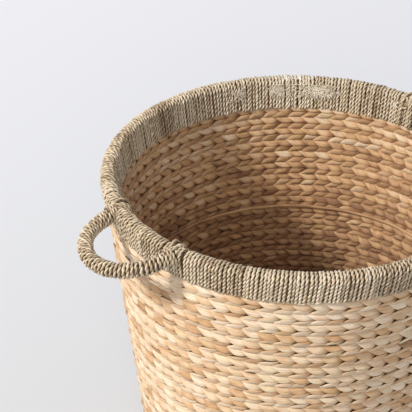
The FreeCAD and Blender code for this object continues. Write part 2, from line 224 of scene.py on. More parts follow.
# one pass of a strand, called a leaf: half length in stitches, tapers in half lengths
OUTER_REACH = 0.92
INNER_REACH = 0.88
START_TAPER = 0.80
END_TAPER = 0.66
TAPER_CURVE = 0.9
LEAF_SPREAD = 1.18
TIP_WIDTH = 0.04
SIDE_TURN = 5
SIDE_DRIFT = 0.08
START_SINK = 0.50
START_CURVE = 3
TIP_SINK = 0.78
TIP_CURVE = 1.7
# its section and how it is rolled about its length, in radians
SIDE_SHARPNESS = 1.5
SIDE_FLATNESS = 0.9
THICKNESS_CURVE = (2.6, 0.8)
OUTER_ROLL = 0.42
INNER_ROLL = 0.46
OUTER_PLUMP = 1.2 * MM
INNER_PLUMP = 2.1 * MM
THIN = 0.6 * MM
PLEAT_DEPTH = 0.14
PLEATS = 1.1
# tones: the inside gets painted shade, darkest low down, and tips and edges get painted shade too
MIDDLE_TONE = 0.5
INNER_SHADE_HIGH = -0.09
INNER_SHADE_LOW = -0.54
OUTER_TIP_SHADE = 0.40
INNER_TIP_SHADE = 0.60
EDGE_SHADE = 0.17
HIDDEN_SHADE_TONE = 0.10
BASE_INNER_SHADE = -0.42
# how much leaves differ: standard deviations, and the most of them that a leaf may be off
FURTHEST = 2.2
LEAN_SPREAD = 0.10
SHIFT_SPREAD = 0.04
WIDTH_SPREAD = 0.10
PROUD_SPREAD = 0.38 * MM
REACH_SPREAD = 0.04
PLACE_SPREAD = 0.05
ROLL_SPREAD = 0.06
PLEAT_SPREAD = 1.5
ROW_TONE_SPREAD = 0.03
TONE_SPREAD = 0.09
INNER_TONE_SHARE = 0.55
TONE_WANDER = 0.06
WANDER_KNOTS = 11


def leaf_depth(along):
    """How proud a leaf lies from its start (-1), over its neighbour, to its tucked tip (1)."""
    return np.where(along < 0, 1 - START_SINK * np.abs(along) ** START_CURVE,
                    1 - TIP_SINK * np.abs(along) ** TIP_CURVE)


def leaf_shape(along):
    """Half width and sideways place of a leaf, in row heights, from its start to its tip."""
    start = np.clip((1 + along) / START_TAPER, 0, 1) ** TAPER_CURVE
    end = np.clip((1 - along) / END_TAPER, 0, 1) ** TAPER_CURVE
    half = 0.5 * np.minimum(start, end)
    sideways = np.tanh(SIDE_TURN * along) * (0.5 - half) + SIDE_DRIFT * along
    return TIP_WIDTH + half * (LEAF_SPREAD - TIP_WIDTH), sideways


def stitch_values(stitches, spread, middle=0.0):
    """One random value for each stitch of a strand."""
    return middle + spread * rng.standard_normal((stitches, 1)).clip(-FURTHEST, FURTHEST)


def wander(stitches, knots, spread):
    """A slow closed wave of random values round the basket, one for each stitch."""
    heights = spread * rng.standard_normal(knots)
    places = np.arange(stitches) / stitches * knots
    low = np.floor(places).astype(int)
    ease = places - low
    ease = ease * ease * (3 - 2 * ease)
    return (heights[low % knots] * (1 - ease) + heights[(low + 1) % knots] * ease)[:, None]


def twined_row(tubes, surface, stitches, row_height, slant, depths, base_tone, inner_shade):
    """Two strands twined round the stakes: one passes outside where the other passes inside.

    depths are how far the outside and the inside stand off the middle surface.
    surface(angle, up, out) gives points from the row's own middle line. Each pass of a strand is
    a long pointed leaf: it starts over the tip of the leaf before it and ends under the next.
    """
    along = np.linspace(-1, 1, PASS_RINGS - 1)[None, :]
    number = np.arange(stitches)[:, None]
    for strand in range(2):
        side = np.where((number + strand) % 2 == 0, 1.0, -1.0)
        outside = side > 0
        lean = stitch_values(stitches, LEAN_SPREAD, 1.0)
        shift = stitch_values(stitches, SHIFT_SPREAD * row_height)
        wide = stitch_values(stitches, WIDTH_SPREAD, 1.0)
        proud = stitch_values(stitches, PROUD_SPREAD)
        length = np.where(outside, OUTER_REACH, INNER_REACH)
        length = length * stitch_values(stitches, REACH_SPREAD, 1.0)
        place_round = number + stitch_values(stitches, PLACE_SPREAD) + length * along
        middle = 1 - along ** 2
        half, sideways = leaf_shape(along * side)
        up = slant * row_height * sideways * lean + shift * middle
        plump = np.where(outside, OUTER_PLUMP, INNER_PLUMP)
        reach = np.where(outside, depths[0], depths[1]) - plump
        out = side * (reach * leaf_depth(side * along) + proud * middle)
        blade = (1 - np.abs(along) ** THICKNESS_CURVE[0]) ** THICKNESS_CURVE[1]
        half_width = row_height * half * wide
        half_thick = THIN + (plump - THIN) * blade
        # one more ring carries the strand through the wall to its next pass
        crossing = (up[:, -1:] + np.roll(up, -1, axis=0)[:, :1]) / 2
        place_round = np.concatenate((place_round, number + 0.5), axis=1)
        up = np.concatenate((up, crossing), axis=1)
        out = np.concatenate((out, 0 * crossing), axis=1)
        half_width = np.concatenate((half_width, half_width[:, -1:]), axis=1)
        half_thick = np.concatenate((half_thick, half_thick[:, -1:]), axis=1)
        tone = base_tone + wander(stitches, WANDER_KNOTS, TONE_WANDER)
        share = np.where(outside, 1.0, INNER_TONE_SHARE)
        tone = tone + share * stitch_values(stitches, TONE_SPREAD)
        # painted shade: passes on the inside are darkened
        tone = tone + np.where(outside, 0.0, inner_shade)
        # painted shade: each leaf darkens towards its tip, where it tucks under the next
        tip_shade = np.where(outside, OUTER_TIP_SHADE, INNER_TIP_SHADE)
        tone = tone - tip_shade * (side * along).clip(0, 1) ** 2
        tone = np.concatenate((tone, tone[:, -1:]), axis=1)
        pleat = np.repeat(stitch_values(stitches, PLEAT_SPREAD), PASS_RINGS, axis=1)
        angle = TAU * place_round / stitches
        centres = surface(angle.ravel(), up.ravel(), out.ravel())
        tangent = closed_tangent(centres)
        upward = surface(angle.ravel(), up.ravel() + MM, out.ravel()) - centres
        across = unit(upward - tangent * np.sum(upward * tangent, axis=1, keepdims=True))
        outward = np.cross(tangent, across)
        # each leaf is rolled, so the edge over its neighbour stands out and the other is tucked in
        roll = np.where(outside, OUTER_ROLL, INNER_ROLL) + stitch_values(stitches, ROLL_SPREAD)
        roll = np.repeat(side * slant * roll, PASS_RINGS)[:, None]
        across, outward = (across * np.cos(roll) + outward * np.sin(roll),
                           outward * np.cos(roll) - across * np.sin(roll))
        turn = circle(AROUND)
        flat_u = np.sign(np.cos(turn)) * np.abs(np.cos(turn)) ** SIDE_FLATNESS
        flat_v = np.sign(np.sin(turn)) * np.abs(np.sin(turn)) ** SIDE_SHARPNESS
        fold = PLEAT_DEPTH * np.cos(PLEATS * TAU * flat_u[None, :] + pleat.reshape(-1, 1))
        profile = np.empty((len(centres), AROUND, 2))
        profile[:, :, 0] = half_width.reshape(-1, 1) * flat_u[None, :]
        profile[:, :, 1] = half_thick.reshape(-1, 1) * flat_v[None, :] * (1 + fold)
        # painted shade along each leaf's edges, where it meets its neighbours
        tone = tone.reshape(-1, 1) - EDGE_SHADE * np.abs(flat_u[None, :]) ** 4
        tubes.add(centres, across, outward, profile, tone, rng.random() * SEEDS, closed=True)


def wall_surface(height):
    """Positions on the wall's middle surface about one height."""
    middle = wall_radius(height) - WALL_THICKNESS / 2
    length = math.hypot(1, FLARE)

    def surface(angle, up, out):
        radius = middle + (FLARE * up + out) / length
        return np.stack((radius * np.cos(angle), radius * np.sin(angle),
                         height + (up - FLARE * out) / length), axis=1)
    return surface


def wall_rows(tubes, bottom, row, depths, base_tone=MIDDLE_TONE):
    """A row leaning up to the right, and over it a row leaning down to the right."""
    lift = (bottom - WALL_BOTTOM) / (WALL_TOP - WALL_BOTTOM)
    # painted shade on the inside, darker towards the bottom of the wall
    inner_shade = INNER_SHADE_LOW + (INNER_SHADE_HIGH - INNER_SHADE_LOW) * min(1.0, lift)
    for place_up, slant in ((0.5, 1), (1.5, -1)):
        twined_row(tubes, wall_surface(bottom + place_up * row), WALL_STITCHES, row, slant, depths,
                   base_tone + ROW_TONE_SPREAD * rng.standard_normal(), inner_shade)


def wall_course(number, material):
    """One band of chevrons: two rows that lean opposite ways."""
    tubes = Tubes()
    wall_rows(tubes, WALL_BOTTOM + (number - 1) * COURSE, COURSE / 2, WALL_DEPTHS)
    piece = tubes.build(f"weave_course_{number:02d}", material)
    place(piece, "flat_strand", f"wall_course_{number:02d}")


def hidden_course(material):
    """The last course, pressed flat inside the wrapped rim."""
    low, high = node_box("rim_hidden_course")
    tubes = Tubes()
    # the weave under the wrap gets a dark tone, painted shade for where it shows between the turns
    wall_rows(tubes, low[2], (high[2] - low[2]) / 2, RIM_WALL_DEPTHS, HIDDEN_SHADE_TONE)
    place(tubes.build("weave_inside_rim", material), "flat_strand", "rim_hidden_course")


RING_RINGS = 900
RING_AROUND = 12
RING_SWAY = 0.08 * MM
RING_WAVES = (3, 7, 19, 31)
RING_TONE = 0.20
RING_FLATNESS = 0.8
RING_CREASE = 0.10
RING_TONE_SPREAD = 0.10


def inner_ring(material):
    """The thin strand laid round the inside of the wall."""
    low, high = node_box("inner_hoop")
    half = (high[2] - low[2]) / 2
    height = (high[2] + low[2]) / 2
    angle = circle(RING_RINGS)
    sway = np.zeros(RING_RINGS)
    for waves in RING_WAVES:
        sway += RING_SWAY * np.cos(waves * angle + rng.random() * TAU)
    radius = high[0] - half + WALL_THICKNESS / 2 - WALL_DEPTHS[1] + 0.5 * sway
    centres = np.stack((radius * np.cos(angle), radius * np.sin(angle), height + 2 * sway), axis=1)
    outward = np.stack((np.cos(angle), np.sin(angle), 0 * angle), axis=1)
    across = np.tile((0.0, 0.0, 1.0), (RING_RINGS, 1))
    turn = circle(RING_AROUND)
    crease = 1 + RING_CREASE * np.cos(3 * turn[None, :] + 9 * angle[:, None])
    profile = half * np.stack((np.cos(turn) * crease, RING_FLATNESS * np.sin(turn) * crease), axis=2)
    tone = RING_TONE + RING_TONE_SPREAD * np.cos(5 * angle)
    tubes = Tubes()
    tubes.add(centres, across, outward, profile, tone, 3.0, closed=True)
    place(tubes.build("inner_ring", material), "flat_strand", "inner_hoop")


# ------------------------------------------------------------------ base
BASE_COURSES = 8
BASE_STITCHES = (20, 20, 38, 38, 38, 38, 38, 38)
BUTTON_ROWS = ((0.10, 0.55, 8), (0.55, 1.0, 14))  # inner and outer share of its radius, stitches
BASE_LOW, BASE_HIGH = node_box("base_centre")


def base_surface(radius):
    """Positions on the base's middle plane about one radius; outside is the underside."""
    middle = (BASE_LOW[2] + BASE_HIGH[2]) / 2

    def surface(angle, up, out):
        return np.stack(((radius + up) * np.cos(angle), (radius + up) * np.sin(angle),
                         middle - out), axis=1)
    return surface


def base_rows(tubes, inner, outer, stitches):
    """Two rows of the base, between two radii."""
    row = (outer - inner) / 2
    depth = (BASE_HIGH[2] - BASE_LOW[2]) / 2
    for place_out, slant in ((0.5, 1), (1.5, -1)):
        # the base's upper side, inside the basket, gets painted shade
        twined_row(tubes, base_surface(inner + place_out * row), stitches, row, slant,
                   (depth, depth), MIDDLE_TONE, BASE_INNER_SHADE)


def base(material):
    """Rounds of twining from the middle out to the foot border."""
    button = BASE_HIGH[0]
    tubes = Tubes()
    for inner, outer, stitches in BUTTON_ROWS:
        base_rows(tubes, inner * button, outer * button, stitches)
    place(tubes.build("weave_base_centre", material), "flat_strand", "base_centre")
    inner = button
    for number in range(1, BASE_COURSES + 1):
        tubes = Tubes()
        outer = node_box(f"base_course_{number}")[1][0]
        base_rows(tubes, inner, outer, BASE_STITCHES[number - 1])
        place(tubes.build(f"weave_base_{number}", material), "flat_strand", f"base_course_{number}")
        inner = outer


FOOT_STRANDS = 4
FOOT_TURNS = 40
FOOT_RINGS = 1600
FOOT_AROUND = 12
FOOT_HALF_THICK = 2.6 * MM
FOOT_HALF_WIDE = 3.1 * MM
FOOT_SWELL = 0.06
FOOT_TONE_SPREAD = 0.10


def foot(material):
    """The border that base and wall end in: four flat strands twisted round each other."""
    low, high = node_box("foot_border")
    half_deep = WALL_THICKNESS / 2
    half_high = (high[2] - low[2]) / 2
    middle = high[0] - half_deep
    place_round = circle(FOOT_RINGS)
    radial = np.stack((np.cos(place_round), np.sin(place_round), 0 * place_round), axis=1)
    upright = np.tile((0.0, 0.0, 1.0), (FOOT_RINGS, 1))
    turn = circle(FOOT_AROUND)
    tubes = Tubes()
    for strand in range(FOOT_STRANDS):
        phase = FOOT_TURNS * place_round + TAU * strand / FOOT_STRANDS
        across_wall = (half_deep - FOOT_HALF_THICK) * np.cos(phase)
        above = (half_high - FOOT_HALF_THICK) * np.sin(phase)
        centres = middle * radial + across_wall[:, None] * radial
        centres += (half_high + low[2] + above)[:, None] * upright
        tangent = closed_tangent(centres)
        normal = np.cos(phase)[:, None] * radial + np.sin(phase)[:, None] * upright
        across = unit(np.cross(normal, tangent))
        outward = np.cross(tangent, across)
        swell = 1 + FOOT_SWELL * np.cos(13 * place_round + strand)
        profile = np.empty((FOOT_RINGS, FOOT_AROUND, 2))
        profile[:, :, 0] = FOOT_HALF_WIDE * swell[:, None] * np.cos(turn)[None, :]
        profile[:, :, 1] = FOOT_HALF_THICK * np.sin(turn)[None, :]
        tone = MIDDLE_TONE + FOOT_TONE_SPREAD * np.cos(9 * place_round + 2 * strand)
        # painted shade on the foot's inner side
        tone = tone + BASE_INNER_SHADE * (1 - np.cos(phase)) / 2
        tubes.add(centres, across, outward, profile, tone, 5.0 * strand, closed=True)
    place(tubes.build("foot_plait", material), "flat_strand", "foot_border")


# ------------------------------------------------------------------ materials
def new_material(name):
    """An empty node material with a principled shader."""
    material = bpy.data.materials.new(name)
    material.use_nodes = True
    nodes = material.node_tree.nodes
    nodes.clear()
    output = nodes.new("ShaderNodeOutputMaterial")
    shader = nodes.new("ShaderNodeBsdfPrincipled")
    material.node_tree.links.new(shader.outputs[0], output.inputs[0])
    return material, nodes, material.node_tree.links, shader


def attribute(nodes, name):
    """Reads a value that the mesh carries."""
    node = nodes.new("ShaderNodeAttribute")
    node.attribute_name = name
    return node


def ramp(nodes, stops):
    """A colour ramp from (position, colour) stops."""
    node = nodes.new("ShaderNodeValToRGB")
    elements = node.color_ramp.elements
    while len(elements) < len(stops):
        elements.new(0.5)
    for element, (position, color) in zip(elements, stops):
        element.position = position
        element.color = (*color, 1)
    return node


def scaled_noise(nodes, links, source, scale, detail, roughness=0.55):
    """Noise with its own scale along each of the source's directions."""
    mapping = nodes.new("ShaderNodeMapping")
    mapping.inputs["Scale"].default_value = scale
    links.new(source, mapping.inputs["Vector"])
    noise = nodes.new("ShaderNodeTexNoise")
    noise.inputs["Scale"].default_value = 1.0
    noise.inputs["Detail"].default_value = detail
    noise.inputs["Roughness"].default_value = roughness
    links.new(mapping.outputs[0], noise.inputs["Vector"])
    return noise


def multiply(nodes, links, first, second):
    """Two colours multiplied."""
    node = nodes.new("ShaderNodeMix")
    node.data_type = "RGBA"
    node.blend_type = "MULTIPLY"
    node.inputs[0].default_value = 1.0
    links.new(first, node.inputs[6])
    links.new(second, node.inputs[7])
    return node.outputs[2]


WHITE = (1, 1, 1)
BLOTCH_SCALE = (45, 110, 1.7)
BLOTCH_AMOUNT = 0.50
BLOTCH_OFFSET = 0.275
TINT_SCALE = (48, 0, 5.3)
REDDISH = (1.0, 0.92, 0.90)
GREENISH = (0.97, 1.0, 0.88)
BUMP_STRENGTH = 0.7
ROUGHNESS_SPREAD = 0.12


def fibrous(name, stops, streak_dark, streak_scale, bump_depth, roughness, sheen):
    """Dried plant fibre: tone from the strand, streaks along it and a fine fibrous bump."""
    material, nodes, links, shader = new_material(name)
    tone = attribute(nodes, "tone")
    fibre = attribute(nodes, "fibre")
    streaks = scaled_noise(nodes, links, fibre.outputs["Vector"], streak_scale, 5.0, 0.6)
    blotches = scaled_noise(nodes, links, fibre.outputs["Vector"], BLOTCH_SCALE, 2.0)
    shift = nodes.new("ShaderNodeMath")
    shift.operation = "MULTIPLY_ADD"
    shift.inputs[1].default_value = BLOTCH_AMOUNT
    links.new(blotches.outputs[0], shift.inputs[0])
    links.new(tone.outputs["Fac"], shift.inputs[2])
    less = nodes.new("ShaderNodeMath")
    less.operation = "SUBTRACT"
    less.inputs[1].default_value = BLOTCH_OFFSET
    links.new(shift.outputs[0], less.inputs[0])
    color = ramp(nodes, stops)
    links.new(less.outputs[0], color.inputs[0])
    dark = ramp(nodes, ((0.30, streak_dark), (0.56, WHITE)))
    links.new(streaks.outputs[0], dark.inputs[0])
    tints = scaled_noise(nodes, links, fibre.outputs["Vector"], TINT_SCALE, 1.0)
    tint = ramp(nodes, ((0.28, REDDISH), (0.44, WHITE), (0.58, WHITE), (0.74, GREENISH)))
    links.new(tints.outputs[0], tint.inputs[0])
    tinted = multiply(nodes, links, color.outputs[0], tint.outputs[0])
    final = multiply(nodes, links, tinted, dark.outputs[0])
    links.new(final, shader.inputs["Base Color"])
    rough = nodes.new("ShaderNodeMapRange")
    rough.inputs["To Min"].default_value = roughness - ROUGHNESS_SPREAD
    rough.inputs["To Max"].default_value = roughness + ROUGHNESS_SPREAD
    links.new(streaks.outputs[0], rough.inputs["Value"])
    links.new(rough.outputs[0], shader.inputs["Roughness"])
    shader.inputs["Sheen Weight"].default_value = sheen
    shader.inputs["Sheen Roughness"].default_value = 0.5
    shader.inputs["Specular IOR Level"].default_value = 0.35
    bump = nodes.new("ShaderNodeBump")
    bump.inputs["Strength"].default_value = BUMP_STRENGTH
    bump.inputs["Distance"].default_value = bump_depth
    links.new(streaks.outputs[0], bump.inputs["Height"])
    links.new(bump.outputs[0], shader.inputs["Normal"])
    return material


def strand_material():
    """Broad dried leaf strand, from brown to pale straw."""
    stops = ((0.00, (0.27, 0.14, 0.07)), (0.26, (0.56, 0.35, 0.178)), (0.50, (0.695, 0.55, 0.385)),
             (0.72, (0.76, 0.64, 0.49)), (0.95, (0.83, 0.73, 0.59)))
    return fibrous("flat_strand", stops, streak_dark=(0.62, 0.51, 0.41),
                   streak_scale=(60, 1500, 3.1), bump_depth=0.42 * MM, roughness=0.62, sheen=0.08)


def cord_material():
    """Twisted seagrass cord, greyer than the strands."""
    stops = ((0.05, (0.26, 0.175, 0.10)), (0.30, (0.53, 0.42, 0.285)), (0.50, (0.71, 0.60, 0.44)),
             (0.75, (0.80, 0.71, 0.56)), (0.95, (0.89, 0.83, 0.70)))
    return fibrous("twisted_cord", stops, streak_dark=(0.50, 0.43, 0.34),
                   streak_scale=(110, 2200, 3.1), bump_depth=0.25 * MM, roughness=0.72, sheen=0.10)


def cane_material():
    """Round cane: long grain and a slightly waxy skin."""
    material, nodes, links, shader = new_material("cane")
    where = nodes.new("ShaderNodeTexCoord")
    grain = scaled_noise(nodes, links, where.outputs["Object"], (700, 700, 25), 4.0)
    color = ramp(nodes, ((0.3, (0.09, 0.055, 0.03)), (0.6, (0.19, 0.125, 0.07)),
                         (0.8, (0.27, 0.19, 0.11))))
    links.new(grain.outputs[0], color.inputs[0])
    links.new(color.outputs[0], shader.inputs["Base Color"])
    shader.inputs["Roughness"].default_value = 0.5
    bump = nodes.new("ShaderNodeBump")
    bump.inputs["Distance"].default_value = 0.2 * MM
    links.new(grain.outputs[0], bump.inputs["Height"])
    links.new(bump.outputs[0], shader.inputs["Normal"])
    return material


# ------------------------------------------------------------------ twisted cord
CORD = 1.84 * MM
CORD_LAY = 10.0 * MM
CORD_AROUND = 12
CORD_STEP = 1.5 * MM
PLY_SHAPE = (0.47, 0.53)
WAIST = 0.50
WAIST_EDGE = 0.3
LAY_RANGE = (0.92, 1.08)
SWELL_SPREAD = 0.05
PLY_TONE_SPREAD = 0.07
CORD_TONE_SPREAD = 0.05
GROOVE_SHADE = -0.24
GAP_SHADE = -0.50


def cord_profile(radius, angles):
    """Two plies side by side, turned by the given angles."""
    turn = circle(CORD_AROUND)
    lobe = np.abs(np.cos(turn))
    shape = np.where(lobe > WAIST_EDGE, PLY_SHAPE[0] + PLY_SHAPE[1] * lobe, WAIST)
    local = np.stack((shape * np.cos(turn), shape * np.sin(turn)), axis=1)
    cos, sin = np.cos(angles)[:, None], np.sin(angles)[:, None]
    turned = np.stack((local[None, :, 0] * cos - local[None, :, 1] * sin,
                       local[None, :, 0] * sin + local[None, :, 1] * cos), axis=2)
    return radius[:, None, None] * turned


def add_cord(tubes, centres, outward, radius, tone):
    """A two-ply cord along a line; outward gives any side direction along it."""
    tangent = unit(np.gradient(centres, axis=0))
    across = unit(np.cross(outward, tangent))
    outward = np.cross(tangent, across)
    along = distance_along(centres)
    lay = CORD_LAY * rng.uniform(*LAY_RANGE)
    angles = TAU * along / lay + rng.random() * TAU
    count = len(centres)
    swell = radius * (1 + SWELL_SPREAD * soft_noise(count, max(3, count // 4), 1.0))
    ply = np.cos(circle(CORD_AROUND))
    plies = PLY_TONE_SPREAD * rng.standard_normal() * np.sign(ply)
    # painted shade in the groove between the two plies
    plies = plies + GROOVE_SHADE * (1 - np.abs(ply)) ** 2
    tones = tone + soft_noise(count, max(3, count // 6), CORD_TONE_SPREAD)
    profile = cord_profile(swell, angles)
    # painted shade: the cord darkens where its surface turns away from outward, towards the gaps
    # between turns
    facing = (profile[:, :, 1] / swell[:, None]).clip(0, 1)
    tones = tones[:, None] + plies[None, :] + GAP_SHADE * (1 - facing) ** 2
    tubes.add(centres, across, outward, profile, tones, rng.random() * SEEDS, closed=False)


def resample(line, spacing):
    """Evenly spaced points along a line of points."""
    along = distance_along(line)
    count = max(4, int(round(along[-1] / spacing)) + 1)
    want = np.linspace(0, along[-1], count)
    return np.stack([np.interp(want, along, line[:, k]) for k in range(line.shape[1])], axis=1)


def soft_noise(count, knots, spread):
    """A smooth random line of values."""
    heights = spread * rng.standard_normal(knots)
    return np.interp(np.linspace(0, knots - 1, count), np.arange(knots), heights)


# ------------------------------------------------------------------ rim
RIM_LEAN = math.radians(9.0)
RIM_THICKNESS = 16.8 * MM
RIM_OUTER_DEPTH = 30.9 * MM
RIM_INNER_DEPTH = 35.6 * MM
RIM_CORNER = 7.6 * MM
RIM_TURNS = 326
RIM_TUCK = 3.0 * MM
RIM_TUCK_FALL = 1.8 * MM
RIM_CORE = (-9 * MM, 6 * MM)
TURN_LEAN = 3.0 * MM
TURN_WOBBLE = 0.25 * MM
TURN_PROUD_SPREAD = 0.3 * MM
TURN_PROUD_RANGE = (-0.7 * MM, 0.3 * MM)
FEWEST_RINGS = 4
# angles in degrees, anticlockwise from the right handle
RIM_STRETCHES = (("right", -10.6, 10.6), ("back", 17.2, 162.8), ("left", 169.4, 190.6),
                 ("front", 197.9, 342.8))
RIM_GAPS = (73.0, 52.4)
GAP_HALF = 0.24
GAP_REACH = 3.5
PALEST_ANGLE = 35
RIM_TONE = 0.57
RIM_PALER = 0.24
# each turn keeps a share of the tone and crowding of the turn before it, and adds its own
TONE_KEPT, TONE_ADDED = 0.8, 0.06
CROWD_KEPT, CROWD_ADDED = 0.6, 0.10
TURN_TONE_SPREAD = 0.05
RIM_RADIUS = 200.0 * MM
RIM_TOP = node_box("rim_wrap_front")[1][2]


def rim_centre():
    """(radius, height) of the middle of the rim's section."""
    half_width = RIM_THICKNESS / 2 - RIM_CORNER
    half_depth = RIM_OUTER_DEPTH / 2 - RIM_CORNER
    cos, sin = math.cos(RIM_LEAN), math.sin(RIM_LEAN)
    return (RIM_RADIUS - (half_width * cos + half_depth * sin + RIM_CORNER),
            RIM_TOP - (half_width * sin + half_depth * cos + RIM_CORNER))


RIM_CENTRE = rim_centre()


def rim_points(angle, across, along):
    """Positions of rim section coordinates at angles round the basket."""
    cos, sin = math.cos(RIM_LEAN), math.sin(RIM_LEAN)
    radius = RIM_CENTRE[0] + across * cos + along * sin
    height = RIM_CENTRE[1] - across * sin + along * cos
    return np.stack((radius * np.cos(angle), radius * np.sin(angle), height), axis=-1)


def shares(count):
    """Even steps from 0 up to, but without, 1."""
    return np.linspace(0, 1, count, endpoint=False)


def quarter_turn(count):
    """Even steps of angle from 0 up to, but without, a right angle."""
    return math.pi / 2 * shares(count)


def rim_core(angles, line):
    """Points in the middle of the rim beside each point of a turn, which it faces away from."""
    return rim_points(angles, 0 * line[:, 0], np.clip(line[:, 1], *RIM_CORE))


def rim_path(inset):
    """Section line that one turn of cord follows: up the outside, over and down the inside."""
    half = RIM_THICKNESS / 2 - inset
    top = RIM_OUTER_DEPTH / 2 - inset
    corner = RIM_CORNER - inset
    outer_end = top - RIM_OUTER_DEPTH + 2 * inset
    inner_end = top - RIM_INNER_DEPTH + 2 * inset
    flat = half - corner
    shoulder = top - corner
    line = []
    for turn in quarter_turn(4):
        line.append((half - RIM_TUCK * (1 - math.sin(turn)),
                     outer_end - RIM_TUCK_FALL * math.cos(turn)))
    for share in shares(14):
        line.append((half, outer_end + share * (shoulder - outer_end)))
    for turn in quarter_turn(10):
        line.append((flat + corner * math.cos(turn), shoulder + corner * math.sin(turn)))
    for share in shares(3):
        line.append((flat - 2 * share * flat, top))
    for turn in quarter_turn(10):
        line.append((-flat - corner * math.sin(turn), shoulder + corner * math.cos(turn)))
    for share in shares(16):
        line.append((-half, shoulder - share * (shoulder - inner_end)))
    for turn in np.linspace(0, math.pi / 2, 5):
        line.append((-half + RIM_TUCK * (1 - math.cos(turn)),
                     inner_end - RIM_TUCK_FALL * math.sin(turn)))
    return np.array(line)


def rim_turn(tubes, angle, proud, lean, tone, keep=None):
    """One turn of cord over the rim; keep(points) may leave out the part a handle passes through."""
    line = resample(rim_path(CORD - proud), CORD_STEP)
    count = len(line)
    lift = (line[:, 1] - line[:, 1].min()) / (line[:, 1].max() - line[:, 1].min())
    outside = np.linspace(1, 0, count) > 0.5
    drift = np.where(outside, lean * (lift - 1), 0.0) + soft_noise(count, 6, TURN_WOBBLE)
    angles = angle + drift / RIM_CENTRE[0]
    centres = rim_points(angles, line[:, 0], line[:, 1])
    core = rim_core(angles, line)
    shown = np.ones(count, dtype=bool) if keep is None else keep(centres)
    edges = np.flatnonzero(np.diff(np.concatenate(([False], shown, [False])).astype(int)))
    for start, end in zip(edges[::2], edges[1::2]):
        if end - start >= FEWEST_RINGS:
            add_cord(tubes, centres[start:end], (centres - core)[start:end], CORD, tone)


def parted(angle):
    """Turns near a gap in the wrap are pushed aside; all in degrees."""
    for gap in RIM_GAPS:
        away = angle - gap
        if abs(away) < GAP_REACH:
            angle = gap + math.copysign(GAP_HALF + abs(away) * (1 - GAP_HALF / GAP_REACH), away)
    return angle


def rim_tone(angle):
    """The cord is paler along the far side of the rim."""
    return RIM_TONE + RIM_PALER * max(0.0, math.cos(math.radians(angle - PALEST_ANGLE)))


def rim_wrap(name, start, end, material, node):
    """A wrapped stretch of the rim, between two angles in degrees."""
    tubes = Tubes()
    count = int(round((end - start) / 360 * RIM_TURNS))
    step = (end - start) / count
    drift, crowd = 0.0, 0.0
    for number in range(count):
        drift = TONE_KEPT * drift + TONE_ADDED * rng.standard_normal()
        crowd = CROWD_KEPT * crowd + CROWD_ADDED * step * rng.standard_normal()
        here = parted(start + step * (number + 0.5) + crowd)
        proud = float(np.clip(TURN_PROUD_SPREAD * rng.standard_normal(), *TURN_PROUD_RANGE))
        tone = rim_tone(here) + drift + TURN_TONE_SPREAD * rng.standard_normal()
        rim_turn(tubes, math.radians(here), proud, TURN_LEAN, tone)
    place(tubes.build(name, material), "twisted_cord", node)


# ------------------------------------------------------------------ frayed fibres
FRAY = 0.30 * MM
FRAY_RINGS = 7
FRAY_AROUND = 6
FRAY_LENGTH = (3 * MM, 9 * MM)
FRAY_HEADING = 1.25
FRAY_BEND = 1.0
FRAY_LIFT = (0.1 * MM, 0.5 * MM)
FRAY_END_LIFT = (0.0, 1.3 * MM)
FRAY_WIDTHS = (0.6, 1.5)
FRAY_INNER_TONES = (0.70, 1.25)
FRAY_OUTER_TONES = (0.45, 0.75)
FRAY_INSIDE = (15, 100)
PATCH_BAND = (-4 * MM, 7 * MM)
STRAY_BAND = (-14 * MM, 6 * MM)
# middle and spread in degrees, and how many fibres
FRAY_PATCHES = ((73.6, 1.5, 60), (59.5, 1.3, 130), (45.0, 2.8, 240), (54.0, 5.0, 60), (17.5, 1.2, 16),
                (188.5, 2.6, 12), (169.0, 2.0, 24), (12.0, 2.0, 14), (-14.0, 2.0, 14))
FRAY_STRAYS = 150


def fray(tubes, angle, band, inside):
    """One fine loose fibre lying across the cords, its end lifting off."""
    share = np.linspace(0, 1, FRAY_RINGS)
    length = rng.uniform(*FRAY_LENGTH)
    heading = rng.uniform(-FRAY_HEADING, FRAY_HEADING)
    bend = rng.uniform(-FRAY_BEND, FRAY_BEND)
    turned = heading + bend * share
    ahead = np.cumsum(np.cos(turned)) * length / FRAY_RINGS
    aside = np.cumsum(np.sin(turned)) * length / FRAY_RINGS
    along = np.clip(rng.uniform(*band) + rng.choice((-1, 1)) * ahead,
                    -RIM_INNER_DEPTH / 2, RIM_OUTER_DEPTH / 2 - RIM_CORNER)
    lift = rng.uniform(*FRAY_LIFT) + rng.uniform(*FRAY_END_LIFT) * share ** 2
    across = (RIM_THICKNESS / 2 + lift) * (-1 if inside else 1)
    centres = rim_points(math.radians(angle) + aside / RIM_RADIUS, across, along)
    tangent = unit(np.gradient(centres, axis=0))
    side = unit(np.cross(tangent, (0.0, 0.0, 1.0)) + 0.001)
    turn = circle(FRAY_AROUND)
    radius = FRAY * rng.uniform(*FRAY_WIDTHS) * (1 - 0.6 * share ** 2)
    profile = radius[:, None, None] * np.stack((np.cos(turn), np.sin(turn)), axis=1)[None, :, :]
    tone = np.full(FRAY_RINGS, rng.uniform(*(FRAY_INNER_TONES if inside else FRAY_OUTER_TONES)))
    tubes.add(centres, side, np.cross(tangent, side), profile, tone, rng.random() * SEEDS, closed=False)


def frays(material):
    """Worn patches where fibres of the cord have come loose, and stray ones all round."""
    tubes = Tubes()
    for middle, spread, count in FRAY_PATCHES:
        inside = FRAY_INSIDE[0] < middle < FRAY_INSIDE[1]
        for _ in range(count):
            fray(tubes, middle + spread * rng.standard_normal(), PATCH_BAND, inside)
    for _ in range(FRAY_STRAYS):
        fray(tubes, rng.uniform(0, 360), STRAY_BAND, rng.random() < 0.5)
    place(tubes.build("rim_frays", material), "twisted_cord")


